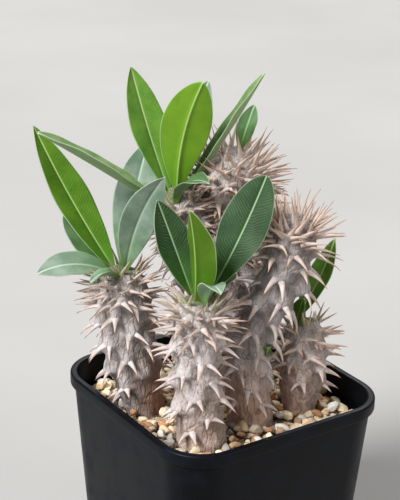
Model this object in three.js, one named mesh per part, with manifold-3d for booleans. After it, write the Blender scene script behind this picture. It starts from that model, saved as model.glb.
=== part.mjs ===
// A densely spined pachypodium in a square nursery pot: five upright stems stand in gravel,
// four of them with small rosettes of folded leaves.
// Millimetres, +Z up. The origin is the middle of the pot's flat base, its sides lie along X and Y.

import * as THREE from 'three';
import { mergeVertices } from 'three/addons/utils/BufferGeometryUtils.js';
import Module from 'manifold-3d';

const wasm = await Module();
wasm.setup();

// Pot
const POT_WIDTH = 90;
const POT_HEIGHT = 80;
const POT_TAPER = 5.5;
const LIP_DEPTH = 4.8;
const LIP_OVERHANG = 1.6;
const LIP_THICKNESS = 2.8;
const LIP_UNDERCUT = 0.3;
const LIP_CORNER = 17;
const BASE_CORNER = 13;
const WALL = 1.2;
const FLOOR = 1.8;
const EDGE_ROUNDING = 0.8;
const CORNER_STEPS = 4;
const DRAIN_RADIUS = 4.5;
const DRAIN_OFFSET = 22;
const DRAIN_SIDES = 12;

// Soil and top dressing
const GAP = 0.3;
const SOIL_TOP = 65.7;
const GRAVEL_LEVEL = 71;
const STONE_SIZE = 3.2;
const STONE_SHIFT = 1.8;
const STONE_RELIEF = 3.2;
const STONE_LEVEL = 70.6;

// Stems, all measured along their centre lines from the gravel
const STEM_BURIED = 16;
const BURIED_PROFILE = [[STEM_BURIED, 0.75], [STEM_BURIED * 0.6, 0.97], [3, 1]];
const DOME_RINGS = [0.35, 0.62, 0.82, 0.94, 0.99];
const HOLE_CLEARANCE = 0.5;
const RING_STEP = 3.4;
const RING_SIDES = 15;
const GOLDEN_ANGLE = 137.508;
const TRUNK_SITE_AREA = 75;
const CROWN_SITE_AREA = 16;
const CROWN_ZONE = 22;
const CROWN_FULL = 4;
const FIRST_SITE = 5;
const SMALLEST_TURN_RADIUS = 4;
const BUMP_HEIGHT = 1.8;
const BUMP_SPREAD = 2.5;
const BUMP_FADE = [2, 7];
const DOME_BUMP_LOSS = 0.6;

// Spines stand on the bumps, leaning to one side and the other by turns
const SHOULDER_SPINE_EVERY = 2;
const SPINE_SPLAY = 27;
const SPLAY_SPREAD = 8;
const TRUNK_RISE = -22;
const RISE_SPREAD = 12;
const SPINE_SINK = 2.6;
const SPINE_SIDES = 3;
const SPINE_CLEARANCE = 0.6;
const SPINE_TRIMS = [1, 0.72, 0.5];
const LENGTH_SPREAD = 0.15;
const TRUNK_SPINE = 7.8;
const FOOT_SPINE = 4.8;
const FOOT_ZONE = [8, 24];
const BARE_ZONE = 16;
const BARE_SHARE = 0.4;
const TRUNK_SPINE_RADIUS = 1.2;
const CROWN_SPINE_RADIUS = 0.85;

// Leaves
const BLADE = 0.75;
const LEAF_STEPS = 8;
const BROAD_LEAF = 12;
const PETIOLE_END = 0.3;
const NARROWEST_HALF = 0.4;
const PETIOLE_SINK = 1.3;
const INNER_RING = 2.6;
const OUTER_RING = 4.3;

// Each stem follows a cubic curve from its foot through the pull of low and high to its apex.
// Its radii are those at the foot, half way and at the shoulder.
const STEMS = [
  {
    name: 'stem_left', foot: [-23.9, 14.5], low: [-28.2, 17.6, 89.9], high: [-30.2, 19.1, 107.8],
    apex: [-31.9, 20, 124.3], radii: [7.2, 9, 8.2], dome: 8, turn: 20, crownSpine: 7.6, crownRise: 6,
  },
  {
    name: 'stem_front', foot: [-20.6, -18.5], low: [-23.9, -16.1, 90.6], high: [-22.5, -17.1, 109.2],
    apex: [-22.5, -17.1, 125.2], radii: [8.7, 6.9, 9.6], dome: 8, turn: 75, crownSpine: 8.2, crownRise: 10,
  },
  {
    name: 'stem_middle', foot: [3.8, -13.6], low: [-4.4, -7.7, 124.5], high: [13.1, -20.4, 100.1],
    apex: [13.4, -20.6, 148.5], radii: [8.5, 6.6, 9.4], dome: 9, turn: 140, crownSpine: 9.8, crownRise: 30,
  },
  {
    name: 'stem_back', foot: [8.6, 13.5], low: [8.4, 12.9, 107], high: [10.3, 12.2, 139],
    apex: [12, 12.7, 163.8], radii: [11.2, 13, 11.2], dome: 10.5, turn: 200, crownSpine: 9.4, crownRise: 20,
  },
  {
    name: 'stem_right', foot: [24.5, -16.3], low: [24.4, -16.2, 83.4], high: [25.6, -17.1, 95.2],
    apex: [23.8, -15.8, 105.3], radii: [6.2, 7.8, 6.2], dome: 6, turn: 260, crownSpine: 6.2, crownRise: 24,
  },
];

// The back stem forks: this branch leans to the left and carries the tallest rosette
const BRANCH = {
  name: 'branch', start: [5.5, 15.2, 106], low: [0.9, 16.6, 122], high: [-3.7, 16.2, 138],
  apex: [-12, 16.8, 150], radii: [9.6, 9.4, 7.6], dome: 6.5, turn: 310, crownSpine: 8, crownRise: 14,
};

// A young offset shoot buds from the middle stem's side
const BUD = {
  along: 26, angle: -52, radius: 3,
  leaflets: [
    { heading: -30, rise: 78, droop: 6, length: 12, width: 4.6, roll: 0, fold: 15 },
    { heading: -115, rise: 58, droop: 20, length: 8, width: 3.6, roll: 0, fold: 15 },
  ],
};

// Leaves in degrees and millimetres: seat is the side of the crown where the leaf stands,
// heading and rise are its direction at the base, droop is how much it bends down to the tip
const LEAVES = {
  stem_left: [
    {
      seat: 95, heading: 113, rise: 47, droop: -11,
      length: 59.4, width: 14.2, roll: -20, fold: 14, widest: 0.5,
    },
    {
      seat: 118, heading: 111, rise: 40, droop: 4,
      length: 26.6, width: 10.5, roll: -25, fold: 9, outer: true,
    },
    {
      seat: 150, heading: 157, rise: 33, droop: 60,
      length: 27.7, width: 10.5, roll: -35, fold: 10,
    },
    {
      seat: -60, heading: -74, rise: 82, droop: 31,
      length: 43.5, width: 13, roll: 120, fold: 14,
    },
    {
      seat: 35, heading: 38, rise: 69, droop: 24,
      length: 48.2, width: 15, roll: 14, fold: 10,
    },
    {
      seat: -120, heading: -170, rise: 51, droop: 86,
      length: 14.9, width: 5, roll: 0, fold: 25, outer: true,
    },
  ],
  stem_front: [
    {
      seat: 109, heading: 109, rise: 64, droop: 2,
      length: 35.5, width: 13.5, roll: -20, fold: 9,
    },
    {
      seat: -135, heading: -166, rise: 91, droop: 18,
      length: 35.3, width: 14, roll: 0, fold: 28, widest: 0.45,
    },
    {
      seat: -12, heading: 0, rise: 54, droop: -12,
      length: 46.5, width: 17, roll: 30, fold: 8, widest: 0.62, blunt: 0.55,
    },
    {
      seat: -100, heading: -104, rise: 88, droop: 102,
      length: 20.3, width: 9, roll: 0, fold: 15, outer: true,
    },
    {
      seat: 8, heading: 10, rise: 39, droop: 32,
      length: 14.2, width: 7, roll: 0, fold: 10, outer: true,
    },
  ],
  branch: [
    {
      seat: 90, heading: 97, rise: 57, droop: -9,
      length: 47.6, width: 14.2, roll: -10, fold: 9,
    },
    {
      seat: -88, heading: -49, rise: 94, droop: 29,
      length: 43.9, width: 17.5, roll: -80, fold: 8, widest: 0.6, blunt: 0.65,
    },
    {
      seat: 20, heading: 9, rise: 80, droop: 20,
      length: 40.7, width: 13, roll: 35, fold: 8,
    },
    {
      seat: -20, heading: -26, rise: 54, droop: -7,
      length: 49.8, width: 8.5, roll: 0, fold: 28, outer: true,
    },
    {
      seat: -130, heading: -86, rise: 72, droop: 74,
      length: 25.3, width: 8, roll: 20, fold: 20, outer: true,
    },
    {
      seat: 165, heading: 158, rise: 34, droop: 3,
      length: 52.2, width: 10.5, roll: 0, fold: 28, outer: true,
    },
  ],
  stem_back: [
    {
      seat: 21, heading: 21, rise: 63, droop: 7,
      length: 17.8, width: 7.5, roll: 10, fold: 12,
    },
  ],
  stem_right: [
    {
      seat: 190, heading: 0, rise: 79, droop: 10,
      length: 11.4, width: 7, roll: 0, fold: 14, outer: true,
    },
    {
      seat: 120, heading: -3, rise: 46, droop: -28,
      length: 34.6, width: 9, roll: 20, fold: 14, outer: true,
    },
  ],
};

const COLOURS = {
  pot: { color: 0x1d1f23, roughness: 0.45 },
  soil: { color: 0x4a3a2b, roughness: 0.95 },
  gravel: { color: 0xc9b48d, roughness: 0.85 },
  bark: { color: 0xb5a79b, roughness: 0.85 },
  leaf: { color: 0x5c8a35, roughness: 0.5 },
};

const radians = THREE.MathUtils.degToRad;

// A repeatable number from 0 to 1 for item i and channel k
function scatter(i, k) {
  const wave = Math.sin(i * 12.9898 + k * 78.233) * 43758.5453;
  return wave - Math.floor(wave);
}

function blend(a, b, t) {
  return a + (b - a) * t;
}

function solidFrom(geometry) {
  const bare = geometry.index ? geometry.clone() : geometry;
  bare.deleteAttribute('normal');
  bare.deleteAttribute('uv');
  const merged = mergeVertices(bare, 1e-4);
  return new wasm.Manifold(new wasm.Mesh({
    numProp: 3,
    vertProperties: new Float32Array(merged.attributes.position.array),
    triVerts: new Uint32Array(merged.index.array),
  }));
}

function geometryFrom(solid) {
  const mesh = solid.getMesh();
  const geometry = new THREE.BufferGeometry();
  geometry.setAttribute('position', new THREE.Float32BufferAttribute(mesh.vertProperties, 3));
  geometry.setIndex(Array.from(mesh.triVerts));
  return geometry;
}

function indexedGeometry(points, faces) {
  const geometry = new THREE.BufferGeometry();
  geometry.setFromPoints(points);
  geometry.setIndex(faces);
  return geometry;
}

// Joins rings of equal length, each counterclockwise seen against the travel, and caps both ends
function loft(rings) {
  const sides = rings[0].length;
  const points = rings.flat();
  const faces = [];
  for (let row = 0; row < rings.length - 1; row += 1) {
    for (let side = 0; side < sides; side += 1) {
      const a = row * sides + side;
      const b = row * sides + ((side + 1) % sides);
      faces.push(a, b, b + sides, a, b + sides, a + sides);
    }
  }
  const middle = (ring) => ring.reduce((sum, p) => sum.add(p), new THREE.Vector3()).divideScalar(sides);
  const first = points.push(middle(rings[0])) - 1;
  const last = points.push(middle(rings[rings.length - 1])) - 1;
  const top = (rings.length - 1) * sides;
  for (let side = 0; side < sides; side += 1) {
    const next = (side + 1) % sides;
    faces.push(first, next, side, last, top + side, top + next);
  }
  return solidFrom(indexedGeometry(points, faces));
}

// Pot, soil and gravel

function squareRing(half, corner, z) {
  const ring = [];
  for (let quarter = 0; quarter < 4; quarter += 1) {
    for (let step = 0; step <= CORNER_STEPS; step += 1) {
      const angle = (quarter + step / CORNER_STEPS) * Math.PI / 2;
      const sx = quarter === 0 || quarter === 3 ? 1 : -1;
      const sy = quarter < 2 ? 1 : -1;
      ring.push(new THREE.Vector3(
        sx * (half - corner) + corner * Math.cos(angle),
        sy * (half - corner) + corner * Math.sin(angle),
        z,
      ));
    }
  }
  return ring;
}

const LIP_BOTTOM = POT_HEIGHT - LIP_DEPTH;
const LIP_HALF = POT_WIDTH / 2;
const WALL_TOP_HALF = LIP_HALF - LIP_OVERHANG;

function outerHalf(z) {
  return blend(WALL_TOP_HALF - POT_TAPER, WALL_TOP_HALF, z / LIP_BOTTOM);
}

function innerHalf(z) {
  return outerHalf(z) - WALL;
}

function outerCorner(z) {
  return blend(BASE_CORNER, LIP_CORNER - LIP_OVERHANG, z / LIP_BOTTOM);
}

function innerCorner(z) {
  return outerCorner(z) - WALL;
}

function potSolid() {
  const inner = LIP_HALF - LIP_THICKNESS;
  const rings = [
    squareRing(outerHalf(0) - EDGE_ROUNDING, outerCorner(0) - EDGE_ROUNDING, 0),
    squareRing(outerHalf(EDGE_ROUNDING), outerCorner(EDGE_ROUNDING), EDGE_ROUNDING),
    squareRing(outerHalf(LIP_BOTTOM), outerCorner(LIP_BOTTOM), LIP_BOTTOM),
    squareRing(LIP_HALF, LIP_CORNER, LIP_BOTTOM + LIP_UNDERCUT),
    squareRing(LIP_HALF, LIP_CORNER, POT_HEIGHT - EDGE_ROUNDING),
    squareRing(LIP_HALF - EDGE_ROUNDING, LIP_CORNER - EDGE_ROUNDING, POT_HEIGHT),
    squareRing(inner + EDGE_ROUNDING, LIP_CORNER - LIP_THICKNESS + EDGE_ROUNDING, POT_HEIGHT),
    squareRing(innerHalf(LIP_BOTTOM), innerCorner(LIP_BOTTOM), POT_HEIGHT - EDGE_ROUNDING),
    squareRing(innerHalf(LIP_BOTTOM), innerCorner(LIP_BOTTOM), LIP_BOTTOM),
    squareRing(innerHalf(FLOOR), innerCorner(FLOOR), FLOOR),
  ];
  let pot = loft(rings);
  for (const [sx, sy] of [[1, 1], [-1, 1], [-1, -1], [1, -1]]) {
    const drill = new THREE.CylinderGeometry(DRAIN_RADIUS, DRAIN_RADIUS, FLOOR * 4, DRAIN_SIDES);
    drill.rotateX(Math.PI / 2);
    drill.translate(sx * DRAIN_OFFSET, sy * DRAIN_OFFSET, 0);
    pot = pot.subtract(solidFrom(drill));
  }
  return pot;
}

function fillBlock(bottom, top) {
  return loft([bottom, top].map((z) => squareRing(innerHalf(z) - GAP, innerCorner(z) - GAP, z)));
}

function drillStemHoles(block) {
  let drilled = block;
  for (const stem of STEMS) {
    const radius = stem.radii[0] + HOLE_CLEARANCE;
    const drill = new THREE.CylinderGeometry(radius, radius, STEM_BURIED * 2, RING_SIDES);
    drill.rotateX(Math.PI / 2);
    drill.translate(stem.foot[0], stem.foot[1], GRAVEL_LEVEL - GAP);
    drilled = drilled.subtract(solidFrom(drill));
  }
  return drilled;
}

function soilSolid() {
  return drillStemHoles(fillBlock(FLOOR + GAP, SOIL_TOP));
}

// Loose stones as one rubble relief: a grid of points, each pushed sideways and up or down
function gravelSolid(stemKeepOuts) {
  const side = 2 * innerHalf(GRAVEL_LEVEL) + STONE_SIZE;
  const steps = Math.round(side / STONE_SIZE);
  const rubble = new THREE.BoxGeometry(side, side, GRAVEL_LEVEL, steps, steps, 1);
  const positions = rubble.attributes.position;
  for (let i = 0; i < positions.count; i += 1) {
    if (positions.getZ(i) < 0) continue;
    const [x, y] = [positions.getX(i), positions.getY(i)];
    const cell = Math.round((x + side) / STONE_SIZE) * 101 + Math.round((y + side) / STONE_SIZE);
    const [pushX, pushY, pushZ] = [1, 2, 3].map((channel) => scatter(cell, channel) - 0.5);
    positions.setXYZ(
      i,
      x + pushX * STONE_SHIFT,
      y + pushY * STONE_SHIFT,
      STONE_LEVEL + pushZ * STONE_RELIEF,
    );
  }
  let gravel = drillStemHoles(solidFrom(rubble).intersect(fillBlock(SOIL_TOP + GAP, POT_HEIGHT)));
  for (const keepOut of stemKeepOuts) gravel = gravel.subtract(keepOut);
  return largestPiece(gravel);
}

// Stems

function prepareStem(stem) {
  const start = stem.start ?? [...stem.foot, GRAVEL_LEVEL];
  const pulls = [start, stem.low, stem.high, stem.apex].map((place) => new THREE.Vector3(...place));
  const curve = new THREE.CubicBezierCurve3(...pulls);
  const ready = { ...stem, curve, length: curve.getLength() };
  ready.sites = bumpSites(ready);
  return ready;
}

function stemRadius(stem, along) {
  const t = THREE.MathUtils.clamp(along / stem.length, 0, 1);
  const [foot, waist, shoulder] = stem.radii;
  const body = foot * (1 - t) * (1 - 2 * t) + 4 * waist * t * (1 - t) + shoulder * t * (2 * t - 1);
  const intoDome = domeFraction(stem, along);
  return body * Math.sqrt(Math.max(1 - intoDome ** 2, 0));
}

function domeFraction(stem, along) {
  return THREE.MathUtils.clamp((along - stem.length + stem.dome) / stem.dome, 0, 1);
}

// The middle of the stem, its direction, and the way out at one height and one angle around it
function stemFrame(stem, along, angle) {
  const t = THREE.MathUtils.clamp(along / stem.length, 0, 1);
  const centre = stem.curve.getPointAt(t);
  const up = stem.curve.getTangentAt(t);
  const east = new THREE.Vector3(0, 1, 0).cross(up).normalize();
  const north = new THREE.Vector3().crossVectors(up, east);
  const outward = new THREE.Vector3()
    .addScaledVector(east, Math.cos(radians(angle)))
    .addScaledVector(north, Math.sin(radians(angle)));
  return { centre, up, outward };
}

function crownShare(stem, along) {
  return THREE.MathUtils.smoothstep(along, stem.length - CROWN_ZONE, stem.length - CROWN_FULL);
}

// Bumps follow a spiral, wide apart on the trunk and packed at the crown
function bumpSites(stem) {
  const sites = [];
  let along = FIRST_SITE;
  for (let index = 0; along < stem.length - 1; index += 1) {
    const angle = stem.turn + index * GOLDEN_ANGLE;
    const { centre, outward } = stemFrame(stem, along, angle);
    const point = centre.addScaledVector(outward, stemRadius(stem, along));
    sites.push({ index, along, angle, point });
    const area = blend(TRUNK_SITE_AREA, CROWN_SITE_AREA, crownShare(stem, along));
    along += area / (2 * Math.PI * Math.max(stemRadius(stem, along), SMALLEST_TURN_RADIUS));
  }
  return sites;
}

function bumpHeight(stem, point, along) {
  let height = 0;
  for (const site of stem.sites) {
    const distance = point.distanceTo(site.point) / BUMP_SPREAD;
    if (distance < 3) height = Math.max(height, Math.exp(-(distance ** 2)));
  }
  const footFade = THREE.MathUtils.smoothstep(along, ...BUMP_FADE);
  const domeFade = 1 - DOME_BUMP_LOSS * domeFraction(stem, along);
  return BUMP_HEIGHT * height * footFade * domeFade;
}

// The bumpy body from its buried end to its apex; grow makes the slightly larger keep-out body
function stemBody(stem, grow = 0) {
  const rings = [];
  const ring = (along) => {
    const tilt = Math.asin(domeFraction(stem, along));
    const radius = stemRadius(stem, along);
    const points = [];
    for (let side = 0; side < RING_SIDES; side += 1) {
      const { centre, up, outward } = stemFrame(stem, along, side * 360 / RING_SIDES);
      const bare = centre.clone().addScaledVector(outward, radius);
      const lift = grow + bumpHeight(stem, bare, along);
      bare.addScaledVector(outward, lift * Math.cos(tilt)).addScaledVector(up, lift * Math.sin(tilt));
      points.push(bare);
    }
    return points;
  };
  if (stem.foot) {
    for (const [depth, share] of BURIED_PROFILE) {
      const sides = Array.from({ length: RING_SIDES }, (_, side) => radians(side * 360 / RING_SIDES));
      const radius = stem.radii[0] * share + grow;
      const [x, y] = stem.foot;
      rings.push(sides.map((angle) => new THREE.Vector3(
        x + radius * Math.cos(angle),
        y + radius * Math.sin(angle),
        GRAVEL_LEVEL - depth,
      )));
    }
  }
  const steps = Math.round((stem.length - stem.dome) / RING_STEP);
  for (let step = stem.foot ? 0 : 1; step <= steps; step += 1) {
    rings.push(ring((stem.length - stem.dome) * step / steps));
  }
  for (const share of DOME_RINGS) rings.push(ring(stem.length - stem.dome * (1 - share)));
  return loft(rings);
}

function spineCone(site, stem, side, lengthShare, margin = 0) {
  const { up, outward } = stemFrame(stem, site.along, site.angle);
  const crown = crownShare(stem, site.along);
  const tilt = Math.asin(domeFraction(stem, site.along));
  const normal = outward.clone().multiplyScalar(Math.cos(tilt)).addScaledVector(up, Math.sin(tilt));
  const across = new THREE.Vector3().crossVectors(up, outward);
  const vary = (channel, spread) => blend(-spread, spread, scatter(site.index, channel + side));
  const rise = radians(blend(TRUNK_RISE, stem.crownRise, crown) + vary(1, RISE_SPREAD));
  const splay = radians(side * SPINE_SPLAY + vary(5, SPLAY_SPREAD));
  const direction = normal.clone()
    .addScaledVector(up, Math.tan(rise))
    .addScaledVector(across, Math.tan(splay))
    .normalize();
  const footShare = 1 - THREE.MathUtils.smoothstep(site.along, ...FOOT_ZONE);
  const base = blend(blend(TRUNK_SPINE, FOOT_SPINE, footShare), stem.crownSpine, crown);
  const length = base * (1 + vary(9, LENGTH_SPREAD)) * lengthShare;
  const radius = blend(TRUNK_SPINE_RADIUS, CROWN_SPINE_RADIUS, crown);
  const whole = length + SPINE_SINK + margin;
  const cone = new THREE.ConeGeometry(radius + margin, whole, SPINE_SIDES);
  cone.translate(0, whole / 2, 0);
  cone.applyQuaternion(new THREE.Quaternion().setFromUnitVectors(new THREE.Vector3(0, 1, 0), direction));
  const bump = bumpHeight(stem, site.point, site.along);
  const root = site.point.clone().addScaledVector(normal, bump).addScaledVector(direction, -SPINE_SINK);
  cone.translate(root.x, root.y, root.z);
  return solidFrom(cone);
}

// Adds one spine to each bump, at full length, else shortened, else left out where it would touch
function addSpines(body, stem, blockers) {
  let spiny = body;
  for (const site of stem.sites) {
    const bareFoot = site.along < BARE_ZONE && scatter(site.index, 3) < BARE_SHARE;
    const onShoulder = crownShare(stem, site.along) > 0.5 && domeFraction(stem, site.along) < 0.2;
    if ((onShoulder && site.index % SHOULDER_SPINE_EVERY !== 0) || bareFoot) continue;
    const side = site.index % 4 < 2 ? 1 : -1;
    for (const share of SPINE_TRIMS) {
      const keepOut = spineCone(site, stem, side, share, SPINE_CLEARANCE);
      if (blockers.every((other) => other.intersect(keepOut).isEmpty())) {
        spiny = spiny.add(spineCone(site, stem, side, share));
        break;
      }
    }
  }
  return spiny;
}

// Leaves

function leafHalfWidth(leaf, s) {
  const power = Math.log(0.5) / Math.log(leaf.widest ?? 0.55);
  const roundness = blend(0.75, leaf.blunt ?? 0.75, THREE.MathUtils.smoothstep(s, 0.3, 0.7));
  const blade = leaf.width / 2 * Math.sin(Math.PI * s ** power) ** roundness;
  const petiole = s < PETIOLE_END ? (0.5 + 0.035 * leaf.width) * (1 - s) : 0;
  return Math.max(blade || 0, petiole, NARROWEST_HALF);
}

// A folded blade: a fan of cross sections along a bending midrib, the same above and below
function leafSolid(leaf, base) {
  const heading = radians(leaf.heading);
  const ahead = new THREE.Vector3(Math.cos(heading), Math.sin(heading), 0);
  const level = new THREE.Vector3(-Math.sin(heading), Math.cos(heading), 0);
  const up = new THREE.Vector3(0, 0, 1);
  const fold = radians(leaf.fold);
  const roll = radians(leaf.roll);
  const across = leaf.width > BROAD_LEAF ? [-1, -0.5, 0, 0.5, 1] : [-1, 0, 1];
  const columns = across.length;
  const midrib = base.clone();
  const upper = [];
  const lower = [];
  for (let step = 0; step <= LEAF_STEPS; step += 1) {
    const s = step / LEAF_STEPS;
    const rise = radians(leaf.rise - leaf.droop * s);
    const along = ahead.clone().multiplyScalar(Math.cos(rise)).addScaledVector(up, Math.sin(rise));
    const crest = ahead.clone().multiplyScalar(-Math.sin(rise)).addScaledVector(up, Math.cos(rise));
    const side = level.clone().multiplyScalar(Math.cos(roll)).addScaledVector(crest, Math.sin(roll));
    const face = crest.multiplyScalar(Math.cos(roll)).addScaledVector(level, -Math.sin(roll));
    if (step > 0) midrib.addScaledVector(along, leaf.length / LEAF_STEPS);
    const half = leafHalfWidth(leaf, s);
    const thickness = BLADE / Math.cos(fold);
    for (const x of across) {
      const point = midrib.clone()
        .addScaledVector(side, x * half * Math.cos(fold))
        .addScaledVector(face, Math.abs(x) * half * Math.sin(fold));
      upper.push(point);
      lower.push(point.clone().addScaledVector(face, -thickness));
    }
  }
  const faces = [];
  const under = upper.length;
  const at = (step, column) => step * columns + column;
  for (let step = 0; step < LEAF_STEPS; step += 1) {
    for (let column = 0; column < columns - 1; column += 1) {
      const [a, d] = [at(step, column), at(step, column + 1)];
      const [b, c] = [at(step + 1, column), at(step + 1, column + 1)];
      faces.push(a, b, c, a, c, d);
      faces.push(under + a, under + c, under + b, under + a, under + d, under + c);
    }
    const margins = [[at(step + 1, 0), at(step, 0)], [at(step, columns - 1), at(step + 1, columns - 1)]];
    for (const [near, far] of margins) {
      faces.push(near, far, under + far, near, under + far, under + near);
    }
  }
  for (let column = 0; column < columns - 1; column += 1) {
    const [a, b] = [at(0, column), at(0, column + 1)];
    const [c, d] = [at(LEAF_STEPS, column), at(LEAF_STEPS, column + 1)];
    faces.push(a, b, under + b, a, under + b, under + a);
    faces.push(d, c, under + c, d, under + c, under + d);
  }
  return solidFrom(indexedGeometry([...upper, ...lower], faces));
}

function leafBase(stem, leaf) {
  const { centre, up, outward } = stemFrame(stem, stem.length, leaf.seat);
  const ring = leaf.outer ? OUTER_RING : INNER_RING;
  return centre.addScaledVector(outward, ring).addScaledVector(up, -PETIOLE_SINK);
}

function largestPiece(solid) {
  const pieces = solid.decompose();
  pieces.sort((a, b) => b.volume() - a.volume());
  return pieces[0];
}

function rosette(stem, keepOuts) {
  return LEAVES[stem.name].map((leaf) => {
    let blade = leafSolid(leaf, leafBase(stem, leaf));
    for (const keepOut of keepOuts) blade = blade.subtract(keepOut);
    return largestPiece(blade);
  });
}

// A small green dome with two leaflets, fused to the middle stem
function budSolid(stem) {
  const { centre, outward } = stemFrame(stem, BUD.along, BUD.angle);
  const middle = centre.addScaledVector(outward, stemRadius(stem, BUD.along) + 0.3);
  const dome = new THREE.SphereGeometry(BUD.radius, 8, 6);
  dome.translate(middle.x, middle.y, middle.z);
  let bud = solidFrom(dome);
  for (const leaflet of BUD.leaflets) bud = bud.add(leafSolid(leaflet, middle));
  return bud;
}

// Assembly

function meshOf(name, solid, look) {
  const material = new THREE.MeshStandardMaterial({ ...COLOURS[look], metalness: 0 });
  const mesh = new THREE.Mesh(geometryFrom(solid), material);
  mesh.name = name;
  return mesh;
}

const plant = new THREE.Group();

const stems = STEMS.map(prepareStem);
const branch = prepareStem(BRANCH);
const keepOuts = [...stems, branch].map((stem) => stemBody(stem, GAP));

const pot = potSolid();
const soil = soilSolid();
const gravel = gravelSolid(keepOuts);
plant.add(meshOf('pot', pot, 'pot'));
plant.add(meshOf('soil', soil, 'soil'));
plant.add(meshOf('gravel', gravel, 'gravel'));

const leafSolids = [];
for (const stem of [...stems, branch]) {
  if (!LEAVES[stem.name]) continue;
  rosette(stem, keepOuts).forEach((solid, index) => {
    const place = stem.name.replace('stem_', '');
    leafSolids.push(solid);
    plant.add(meshOf(`leaf_${place}_${index + 1}`, solid, 'leaf'));
  });
}

const finished = [pot, gravel, ...leafSolids];
for (const stem of stems) {
  const others = keepOuts.filter((body, index) => {
    const isSelf = index === stems.indexOf(stem);
    const isOwnBranch = stem.name === 'stem_back' && index === stems.length;
    return !isSelf && !isOwnBranch;
  });
  const blockers = [...finished, ...others];
  let solid = stemBody(stem);
  if (stem.name === 'stem_back') solid = solid.add(stemBody(branch));
  if (stem.name === 'stem_middle') solid = solid.add(budSolid(stem));
  solid = addSpines(solid, stem, blockers);
  if (stem.name === 'stem_back') solid = addSpines(solid, branch, blockers);
  finished.push(solid);
  plant.add(meshOf(stem.name, solid, 'bark'));
}

export default plant;
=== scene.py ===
import math

import bmesh
import bpy
import numpy as np
from mathutils import Matrix, Vector
from mathutils.bvhtree import BVHTree


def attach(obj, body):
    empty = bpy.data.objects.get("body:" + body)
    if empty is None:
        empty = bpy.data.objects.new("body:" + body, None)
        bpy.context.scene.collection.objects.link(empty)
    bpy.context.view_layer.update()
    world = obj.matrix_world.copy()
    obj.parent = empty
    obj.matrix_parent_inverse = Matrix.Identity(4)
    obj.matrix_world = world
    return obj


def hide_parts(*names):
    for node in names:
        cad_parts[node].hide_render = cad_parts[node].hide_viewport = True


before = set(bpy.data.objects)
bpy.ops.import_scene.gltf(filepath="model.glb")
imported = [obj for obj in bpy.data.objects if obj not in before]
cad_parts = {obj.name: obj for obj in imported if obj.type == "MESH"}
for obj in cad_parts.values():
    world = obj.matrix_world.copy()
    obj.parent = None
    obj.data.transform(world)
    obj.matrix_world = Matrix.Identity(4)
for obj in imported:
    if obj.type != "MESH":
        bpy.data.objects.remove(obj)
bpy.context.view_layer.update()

MM = 0.001
BODY = "root"

# Pot
POT_WIDTH = 90
POT_HEIGHT = 80
POT_TAPER = 5.5
LIP_DEPTH = 4.8
LIP_OVERHANG = 1.6
LIP_THICKNESS = 2.8
LIP_UNDERCUT = 0.3
LIP_CORNER = 17
BASE_CORNER = 13
WALL = 1.2
FLOOR = 1.8
EDGE_ROUNDING = 0.8
LIP_FOOT_ROUNDING = 0.4
CORNER_STEPS = 14
DRAIN_RADIUS = 4.5
DRAIN_OFFSET = 22

# Top dressing
GRAVEL_LEVEL = 71
GRIT_LEVEL = 68.6
GRIT_BOTTOM = 66
GRIT_STEP = 1.1
GRIT_MARGIN = 0.4
GRIT_SIDES = 200

# Stems, measured along their centre lines from the gravel
# Share of the girth and depth below the gravel of the hidden rings
BURIED_RINGS = ((0.97, 9), (0.75, 14))
TRUNK_START = -5
BRANCH_START = 0.5
RING_STEP = 0.55
RING_SIDES = 132
DOME_STEPS = 16
GOLDEN_ANGLE = 137.508
TRUNK_SITE_AREA = 75
CROWN_SITE_AREA = 16
CROWN_ZONE = 22
FIRST_FILLER = 500
CROWN_FULL = 4
FIRST_SITE = 5
SMALLEST_TURN_RADIUS = 4
BUMP_HEIGHT = 3.1
BUMP_WIDTH = 3.1
CROWN_BUMP_HEIGHT = 1.2
CROWN_BUMP_WIDTH = 1.7

# Spines
FOOT_SPINE = 5.5
FOOT_ZONE = (8, 24)
BARE_ZONE = 16
BARE_SHARE = 0.4
SPINE_RINGS = 9
SPINE_TRIMS = (1, 0.75, 0.5, 0.35)
SPINE_SIDES = 8
SPINE_SINK = 1.6
SPINE_SPLAY = 27
# Base radius on the trunk, at the side of the crown and at its apex
SPINE_RADII = (1.5, 1.25, 0.85)
SPARSE_AREA = 30
BARE_CROWNS = ("middle", "back")
# How warm the spines of each crown are
WARM_SPINES = {"left": 0.4, "front": 0.4, "middle": 0.9, "back": 0.9, "right": 0.9, "branch": 0.5}
# How much painted shade darkens the bark of each stem, at its foot and above: it stands in for the shade of
# leaves and neighbouring stems
STEM_SHADE = {
    "left": (0.5, 0.5), "front": (0.3, 0.15), "middle": (0.1, 1), "back": (0.3, 0.3),
    "right": (0.1, 0.3), "branch": (0.3, 0.3),
}
STEM_SHADE_ZONE = (12, 45)
# How warm the foot of each stem is, the side in degrees where it is warmest, and how pale the warm part is.
# The warmth is a real brown stain low down mixed with painted warm shade on each stem's shaded side, and the
# pale share is painted light that lifts feet lying in another stem's shadow
FOOT_SHADE_TINTS = {
    "left": (0.95, -34, 0), "front": (0.45, 220, 0.5), "middle": (0.9, 200, 1), "back": (0.5, 230, 0.8),
    "right": (0.7, 170, 0.8), "branch": (0, 0, 0),
}

# Leaves
INNER_RING = 2.6
OUTER_RING = 4.3
PETIOLE_SINK = 1.3
PETIOLE_END = 0.3
NARROWEST_HALF = 0.3
LEAF_STEP = 0.6

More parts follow.
